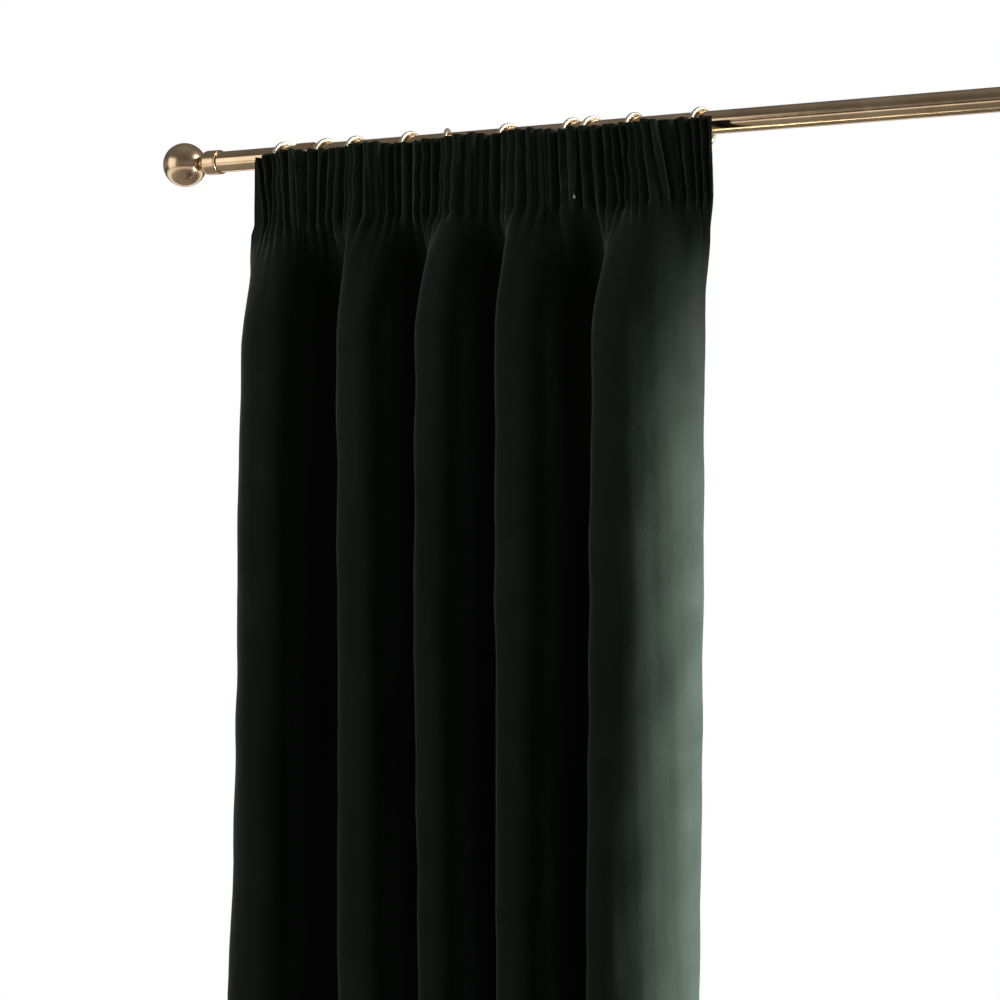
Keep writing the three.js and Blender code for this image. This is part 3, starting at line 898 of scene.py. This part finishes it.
def draped(place, level):
    """The face cloth's middle with its gathers, creases and slow undulations."""
    x, y, depth = wandering(place, level)
    z = level.copy()

    # the heading's top edge waves, and droops at the left corner
    top_fade = 1 - smooth((HEADING_TOP - level) / (60 * MM))
    droop = -8 * MM * np.exp(-((place - LEFT) / (20 * MM)))
    z = z + top_fade * (droop + 1.6 * MM * soft_noise(place, level * 0, 0.02, 1, 23))

    # gathers: pencil pleats in the heading, and wider creases that fan out below it
    below = PINCH_Z - level
    fine, fine_fade = pleats(place, level, PLEAT_PITCH, PLEAT_SEED, PLEAT_FALL)
    wide, wide_fade = pleats(place, level, CREASE_PITCH, CREASE_SEED, CREASE_FALL)
    at_hook = by_hooks(place, HOOK_REACH)
    free = 1 - at_hook * (1 - smooth(below / (30 * MM)))
    in_heading = 1 - smooth(below / (60 * MM))
    held = 0.9 + 0.1 * np.cos(2 * np.pi * (level - HEADING_TOP) / (46 * MM))
    gather = PLEAT_SIZE * (fine - 0.25) * held * fine_fade - HEADING_BACK * in_heading
    gather += HOOK_ROOM * at_hook * in_heading
    onset = 0.3 + 0.7 * smooth((HEADING_TOP - level) / (95 * MM))
    crease = CREASE_SIZE * (wide - 0.55 * (1 - in_heading)) * onset * wide_fade * free

    # below the pinch the cloth springs forward before it hangs
    spring = smooth(below / (20 * MM)) * (1 - smooth((below - 20 * MM) / (110 * MM)))
    puff = PUFF * spring * (1 - 0.5 * depth)

    # one shallow crease slants down the right flank of the fourth fold
    slant = 398 * MM + 0.085 * np.clip(-level, 0, 0.7)
    flank = np.exp(-(((place - slant) / (15 * MM)) ** 2))
    flank *= smooth(below / (60 * MM)) * (1 - smooth((-level - 0.25) / 0.45))

    # small dents and brush marks that the pile shows
    dents = 0.9 * MM * soft_noise(place * 2.2, level, 0.08, 0.11, 51, 26) * depth
    dents += 0.25 * MM * soft_noise(place * 2.2, level, 0.03, 0.04, 52, 26) * smooth(below / 0.1)

    n = normals(x, y, z)
    forward = gather + crease + puff + FLANK_CREASE * flank + dents
    x = x - n[..., 0] * forward
    y = y - n[..., 1] * forward

    # the hem is not quite level
    z = z + smooth((-level - 1.2) / 0.6) * 3 * MM * soft_noise(place, level * 0, 0.10, 1, 61)
    return x, y, z


def flat_across(x, y, row):
    """How far along the cloth each column lies, from the left edge, in one row."""
    steps = np.hypot(np.diff(x[row]), np.diff(y[row]))
    return np.concatenate([[0], np.cumsum(steps)])


def quads(a, b, c, d):
    """Faces between four equal grids of point numbers."""
    return np.stack([a.ravel(), b.ravel(), c.ravel(), d.ravel()], 1)


def sheet_mesh(name, x, y, z, behind, thickness, across, slot):
    """A closed thin sheet: its front is moved back by behind, and thickness is behind that."""
    n = normals(x, y, z)
    grid = np.stack([x, y, z], -1)
    front = grid + n * np.asarray(behind)[..., None]
    back = front + n * np.asarray(thickness)[..., None]
    rows, columns = x.shape
    points = np.concatenate([front.reshape(-1, 3), back.reshape(-1, 3)])
    index = np.arange(rows * columns).reshape(rows, columns)
    other = index + rows * columns
    faces = np.concatenate(
        [
            quads(index[:-1, :-1], index[1:, :-1], index[1:, 1:], index[:-1, 1:]),
            quads(other[:-1, :-1], other[:-1, 1:], other[1:, 1:], other[1:, :-1]),
            quads(index[:-1, 0], other[:-1, 0], other[1:, 0], index[1:, 0]),
            quads(index[:-1, -1], index[1:, -1], other[1:, -1], other[:-1, -1]),
            quads(index[0, :-1], index[0, 1:], other[0, 1:], other[0, :-1]),
            quads(index[-1, :-1], other[-1, :-1], other[-1, 1:], index[-1, 1:]),
        ]
    )
    obj = mesh_object(name, points.tolist(), faces.tolist(), slot)
    flat = np.stack([np.broadcast_to(across, x.shape), z, np.zeros_like(x)], -1).reshape(-1, 3)
    attribute = obj.data.attributes.new("flat_place", "FLOAT_VECTOR", "POINT")
    attribute.data.foreach_set("vector", np.concatenate([flat, flat]).astype(np.float32).ravel())
    return outward(obj)


FACE_FLAT = (1.68, 1.83)
SIDE_HEM = 28 * MM
BOTTOM_HEM = 90 * MM
FACE_THICKNESS = 1.7  # millimetres, pile and backing
HEM_THICKNESS = 1.6  # millimetres more, where the cloth is turned back
LINING_INSET = 24 * MM
LINING_LIFT = 20 * MM  # from the face's hem up to the lining's
LINING_HEM = 52 * MM


def hangs(obj, node):
    """Cloth: hides the CAD part it replaces and keeps its shape where it is, with no body of its
    own.
    """
    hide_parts(node)
    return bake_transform(obj)


X, Y, Z = draped(PLACE, LEVEL)
REFERENCE_ROW = int(np.argmin(np.abs(ROW_LEVELS + 0.6)))
ACROSS = flat_across(X, Y, REFERENCE_ROW)
from_side = np.minimum(ACROSS, ACROSS[-1] - ACROSS)
side_hem = smooth((SIDE_HEM + 1 * MM - from_side) / (2 * MM))
bottom_hem = smooth((HEM_Z + BOTTOM_HEM + 4 * MM - LEVEL) / (8 * MM))
pressed = 0.5 * (1 - smooth((PINCH_Z - LEVEL) / (40 * MM)))
turned_back = np.maximum(side_hem[None, :], bottom_hem)
face_thickness = (FACE_THICKNESS - pressed + HEM_THICKNESS * turned_back) * MM
face = sheet_mesh(
    "curtain_face_velvet",
    X,
    Y,
    Z,
    (pressed / 2 - FACE_THICKNESS / 2) * MM,
    face_thickness,
    ACROSS,
    "velvet",
)
hangs(face, "curtain_face")


def lining():
    low, high = LINING_INSET, ACROSS[-1] - LINING_INSET
    columns = np.where((ACROSS >= low) & (ACROSS <= high))[0]
    top, bottom = LINING_TOP + 9 * MM, HEM_Z + LINING_LIFT
    rows = np.where((ROW_LEVELS <= top) & (ROW_LEVELS >= bottom))[0]
    pick = np.ix_(rows, columns)
    place, level = PLACE[pick], LEVEL[pick]
    x, y, _ = wandering(place, level)
    inside = np.minimum(ACROSS[columns] - low, high - ACROSS[columns])
    spacing = (3.0 + 4.2 * smooth(inside / (40 * MM))) * MM
    creases = 0.9 * MM * soft_noise(place * 2.2, level, 0.03, 0.12, 71, 24)
    top_room = 3.5 * MM * (1 - smooth((top - level) / (35 * MM)))
    behind = spacing[None, :] + creases + top_room
    hem = smooth((bottom + LINING_HEM - level) / (4 * MM))
    thickness = (0.7 + 0.7 * hem) * MM
    obj = sheet_mesh(
        "curtain_lining_sateen", x, y, level, behind, thickness, ACROSS[columns], "lining"
    )
    hangs(obj, "curtain_lining")


# ---------- heading tape, pockets and draw cords ----------

TAPE_TOP = -10 * MM
TAPE_BOTTOM = -85 * MM
TAPE_INSET = 12 * MM
TAPE_RIBS = (-12.5, -34, -54, -69, -82.5)  # millimetres, the thicker bands woven along it
BEHIND_VELVET = 0.85 * MM  # the velvet's middle to the front of the tape
POCKET_PITCH = 12 * MM
HOOK_SETBACK = 2.6 * MM  # how far the pocket strip stands off the tape at a hook
CORD_RADIUS = 0.95 * MM
CORD_BEHIND = 1.9 * MM  # the cord's middle behind the tape
CORD_INSET = 9 * MM  # from the tape's end to the cord's
KNOT_BEHIND = 3.4 * MM


def tape_grid(top, bottom, rows):
    """A grid on the gathered heading, and where its columns lie on the flat tape."""
    across = places[(places >= LEFT + TAPE_INSET) & (places <= RIGHT - TAPE_INSET)]
    place, level = np.meshgrid(across, np.linspace(top, bottom, rows))
    x, y, z = draped(place, level)
    flat = (across - LEFT) * FACE_FLAT[0] / (RIGHT - LEFT)
    return place, level, x, y, z, flat


def heading_tape():
    place, level, x, y, z, flat = tape_grid(TAPE_TOP, TAPE_BOTTOM, 34)
    ribs = sum(near(level, rib * MM, 1.6 * MM) for rib in TAPE_RIBS)
    thickness = (0.45 + 0.2 * np.clip(ribs, 0, 1)) * MM
    behind = BEHIND_VELVET + 0 * place
    tape = sheet_mesh("heading_tape_woven", x, y, z, behind, thickness, flat, "tape")
    hangs(tape, "heading_tape")


def pocket_strip():
    place, level, x, y, z, flat = tape_grid(STRIP_TOP, STRIP_TOP - STRIP_HEIGHT, 10)
    pockets = 0.5 + 0.5 * np.cos(2 * np.pi * flat / POCKET_PITCH)
    edge = np.sqrt(np.clip(np.sin(np.pi * (STRIP_TOP - level) / STRIP_HEIGHT), 0, 1))
    behind = BEHIND_VELVET + (0.5 + 0.35 * pockets * edge) * MM
    y = y + (HOOK_SETBACK + HOOK_ROOM) * by_hooks(place, 6 * MM)
    strip = sheet_mesh("hook_pockets_woven", x, y, z, behind, 0.3 * MM + 0 * place, flat, "tape")
    hangs(strip, "hook_pocket_strip")


def strand_section(radius, lobes=3):
    """A cord's outline: lobes that turn into strands as the section twists."""
    points = []
    for k in range(lobes * 6):
        angle = 2 * math.pi * k / (lobes * 6)
        r = radius * (0.86 + 0.14 * math.cos(lobes * angle))
        points.append((r * math.cos(angle), r * math.sin(angle)))
    return points


def trefoil(origin, size, count=72):
    """The middle line of a small knot."""
    path = []
    for k in range(count):
        t = 2 * math.pi * k / count
        x = (math.sin(t) + 2 * math.sin(2 * t)) * size * 0.55
        z = (math.cos(t) - 2 * math.cos(2 * t)) * size * 0.75
        y = -math.sin(3 * t) * size * 0.55
        path.append(origin + Vector((x, y, z)))
    return path


def draw_cord(name, level_z):
    """A thin twisted cord, pulled straight across the gathers, with a knot at each end."""
    inset = TAPE_INSET + CORD_INSET
    across = np.arange(LEFT + inset, RIGHT - inset, 0.8 * MM)
    y = TAPE_BACK - heading_bow(across) + CORD_BEHIND
    y = y + 0.3 * MM * np.sin(2 * np.pi * across / PLEAT_PITCH)
    path = np.stack([across, y, np.full(len(across), level_z)], -1)
    cord = swept(path.tolist(), strand_section(CORD_RADIUS), Vector((0, 0, 1)), twist=0.25)
    tight = circle(CORD_RADIUS * 0.8, 10)
    knots = []
    for end in (path[0], path[-1]):
        knot = trefoil(Vector(end) + Vector((0, KNOT_BEHIND, 0)), 1.0 * MM)
        knots.append(swept(knot, tight, Vector((0.13, 1, 0.07)), closed=True))
    obj = mesh_object(f"{name}_twisted", *joined(cord, *knots), "draw_cord")
    hangs(outward(obj), name)


lining()
heading_tape()
pocket_strip()
draw_cord("draw_cord_upper", -15 * MM)
draw_cord("draw_cord_lower", -80 * MM)

# ---------- floor and light ----------

FLOOR_RADIUS = 3.3
FLOOR_SIDES = 128
FLOOR_GAP = 12 * MM  # from the hem down to the floor
ROOM_STRENGTH = 0.31
# the room's brightness from straight down, 0, to straight up, 1: a bright band low down and a
# dark one under the horizon give the pole its lines
ROOM_BANDS = (
    (0.0, 0.45),
    (0.18, 0.55),
    (0.23, 4.6),
    (0.34, 4.6),
    (0.38, 0.05),
    (0.44, 0.07),
    (0.49, 1.0),
    (0.58, 0.9),
    (0.66, 0.42),
    (0.90, 0.6),
    (1.0, 0.9),
)


def floor():
    """A pale disc just below the hem."""
    middle = Vector((0.5, -0.4, HEM_Z - FLOOR_GAP))
    rim = [middle + Vector((a, b, 0)) for a, b in circle(FLOOR_RADIUS, FLOOR_SIDES)]
    mesh = bpy.data.meshes.new("floor")
    mesh.from_pydata([tuple(p) for p in rim], [], [list(range(FLOOR_SIDES))])
    n = Nodes("floor_pale")
    grain = n.noise(n.coordinates(), 3, detail=4)
    n.set(Base_Color=n.mix(grain, (0.78, 0.77, 0.75), (0.72, 0.71, 0.69)), Roughness=0.7)
    mesh.materials.append(n.material)
    obj = bpy.data.objects.new("floor", mesh)
    bpy.context.scene.collection.objects.link(obj)


def area_light(name, place, target, size, watts, color, spread=180):
    """A soft panel that faces its target, unseen itself; a smaller spread lights less round it."""
    data = bpy.data.lights.new(name, "AREA")
    data.shape = "RECTANGLE"
    data.size, data.size_y = size
    data.energy = watts
    data.color = color
    data.spread = math.radians(spread)
    obj = bpy.data.objects.new(name, data)
    bpy.context.scene.collection.objects.link(obj)
    obj.visible_camera = False
    obj.location = place
    obj.rotation_euler = (Vector(target) - Vector(place)).to_track_quat("-Z", "Y").to_euler()


def world_light():
    """White behind the object, and a room of bright and dark bands for the brass to reflect."""
    world = bpy.data.worlds.new("studio")
    bpy.context.scene.world = world
    world.use_nodes = True
    nodes, links = world.node_tree.nodes, world.node_tree.links
    nodes.clear()
    direction = nodes.new("ShaderNodeTexCoord")
    parts = nodes.new("ShaderNodeSeparateXYZ")
    ramp = nodes.new("ShaderNodeValToRGB")
    links.new(direction.outputs["Generated"], parts.inputs[0])
    height = nodes.new("ShaderNodeMapRange")
    height.inputs["From Min"].default_value = -1
    links.new(parts.outputs["Z"], height.inputs["Value"])
    links.new(height.outputs["Result"], ramp.inputs["Fac"])
    elements = ramp.color_ramp.elements
    while len(elements) < len(ROOM_BANDS):
        elements.new(0.5)
    for element, (position, value) in zip(elements, ROOM_BANDS):
        element.position = position
        element.color = (value, value * 0.97, value * 0.93, 1)
    room = nodes.new("ShaderNodeBackground")
    room.inputs["Strength"].default_value = ROOM_STRENGTH
    links.new(ramp.outputs["Color"], room.inputs["Color"])
    backdrop = nodes.new("ShaderNodeBackground")
    backdrop.inputs["Color"].default_value = (1, 1, 1, 1)
    seen = nodes.new("ShaderNodeLightPath")
    mix = nodes.new("ShaderNodeMixShader")
    links.new(seen.outputs["Is Camera Ray"], mix.inputs["Fac"])
    links.new(room.outputs[0], mix.inputs[1])
    links.new(backdrop.outputs[0], mix.inputs[2])
    output = nodes.new("ShaderNodeOutputWorld")
    links.new(mix.outputs[0], output.inputs["Surface"])


floor()
world_light()
area_light("key", (-2.6, -3.4, 0.4), (0.25, -0.15, -0.7), (3.4, 3.0), 48, (1, 0.98, 0.95))
area_light("window", (1.3, -0.03, -1.05), (0.6, -0.15, -0.98), (0.3, 1.3), 19, (0.95, 0.98, 1), 42)
area_light("far_window", (2.6, 0.9, 1.6), (-0.2, -0.1, 0), (0.9, 0.9), 12, (1, 0.98, 0.94), 70)
